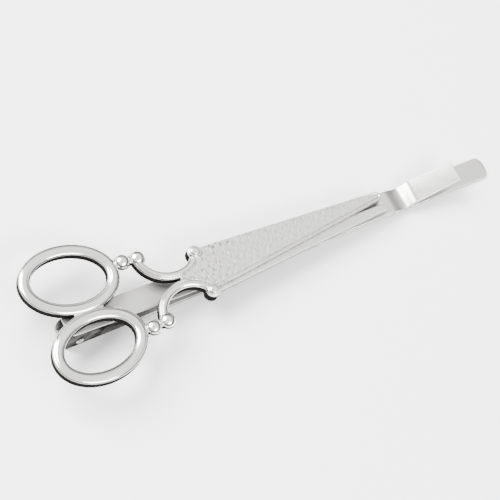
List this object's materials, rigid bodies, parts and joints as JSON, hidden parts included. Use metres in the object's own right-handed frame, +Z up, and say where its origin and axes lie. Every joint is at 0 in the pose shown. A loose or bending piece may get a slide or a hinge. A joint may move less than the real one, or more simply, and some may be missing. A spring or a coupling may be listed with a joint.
{
  "type": "scissor-shaped hair clip",
  "caption": "Silver hair clip shaped like closed ornate scissors, on a sprung flat strip clip that opens when its end tab is lifted.",
  "frame": {"origin": "middle of the overall box on the plane that the lower strip lies on", "axes": "+X from the finger rings to the far tip, +Z up from the lower strip to the casting, +Y across towards the wide blade's far edge"},
  "size_m": [0.067, 0.019, 0.0058],
  "materials": {
    "silver_casting": "bright silver plating over a zinc casting, darkened in the recesses",
    "plated_steel": "bright nickel-plated sheet",
    "pin_steel": "bright plated",
    "spring_wire": "drawn wire",
    "solder": "dull soft solder"
  },
  "bodies": {
    "lower": {"lower_arm": "plated_steel", "hinge_pin": "pin_steel", "hinge_spring": "spring_wire"},
    "upper": {"upper_arm": "plated_steel", "scissors_ornament": "silver_casting", "rear_solder": "solder", "front_solder": "solder"}
  },
  "joints": [
    {"name": "clip_hinge", "type": "hinge", "parent": "lower", "child": "upper", "pos_m": [-0.0277, -0.00042, 0.00135], "axis": [0, -1, 0], "range_deg": [0, 28], "stiffness_Nm_per_rad": 0.03, "springref_deg": -20.05, "deforming": ["hinge_spring"]}
  ]
}
